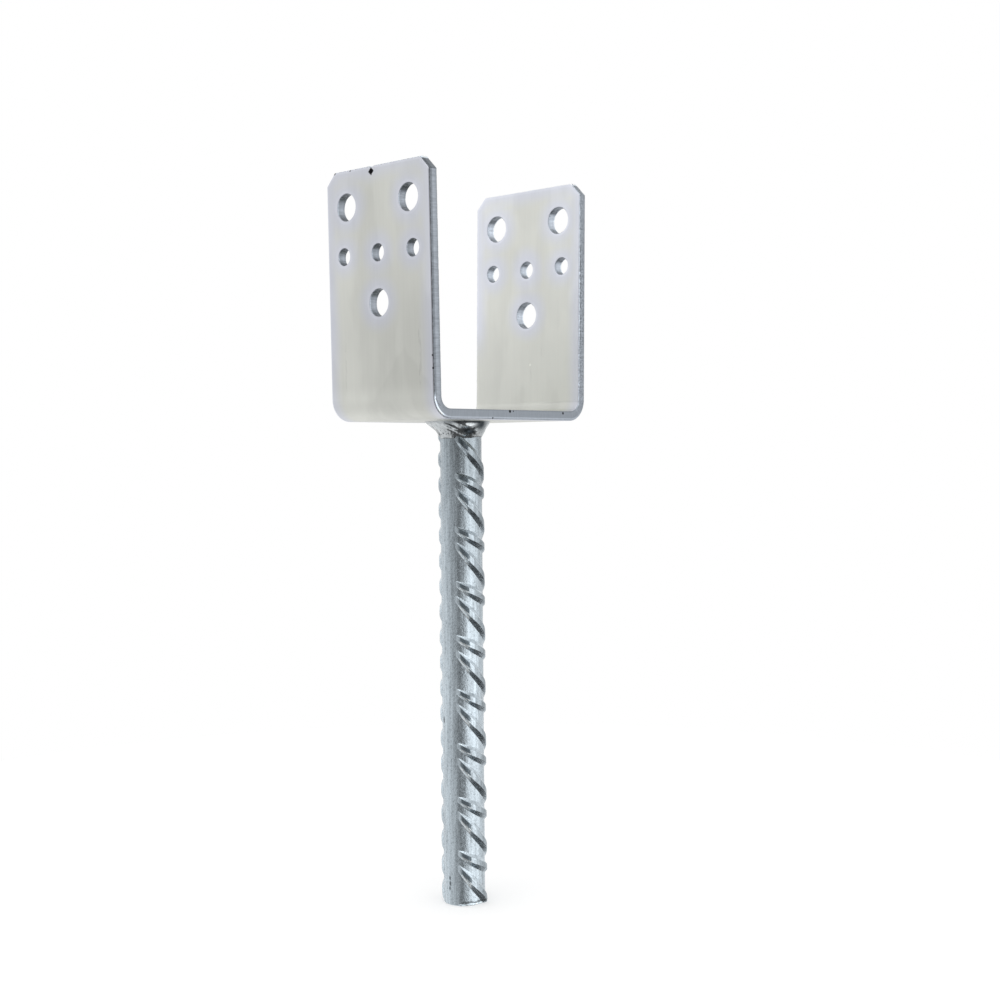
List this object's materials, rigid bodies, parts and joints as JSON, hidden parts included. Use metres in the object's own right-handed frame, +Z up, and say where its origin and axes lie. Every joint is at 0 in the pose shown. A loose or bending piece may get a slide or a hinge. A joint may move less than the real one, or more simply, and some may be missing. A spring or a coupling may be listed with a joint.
{
  "type": "timber post base",
  "caption": "Folded steel strap in a U that holds the foot of a timber post, welded to a ribbed bar that is cast into a concrete footing.",
  "frame": {"origin": "centre of the seat, on the upper face of the strap where the post's end rests", "axes": "+Z up along the flanges and away from the anchor bar, X from flange to flange, Y along the strap's width"},
  "size_m": [0.0914, 0.06, 0.3],
  "materials": {
    "zinc_strap": "zinc coated steel strap, pale satin grey with soft cloudy patches and faint scratches",
    "zinc_bar": "zinc coated ribbed bar, brighter and glossier, with a fine mottled grain",
    "zinc_weld": "zinc coated fillet weld, lumpy, with sharp bright glints and dark hollows"
  },
  "bodies": {
    "root": {"folded_strap": "zinc_strap", "anchor_bar": "zinc_bar", "weld_bead": "zinc_weld"}
  },
  "joints": []
}
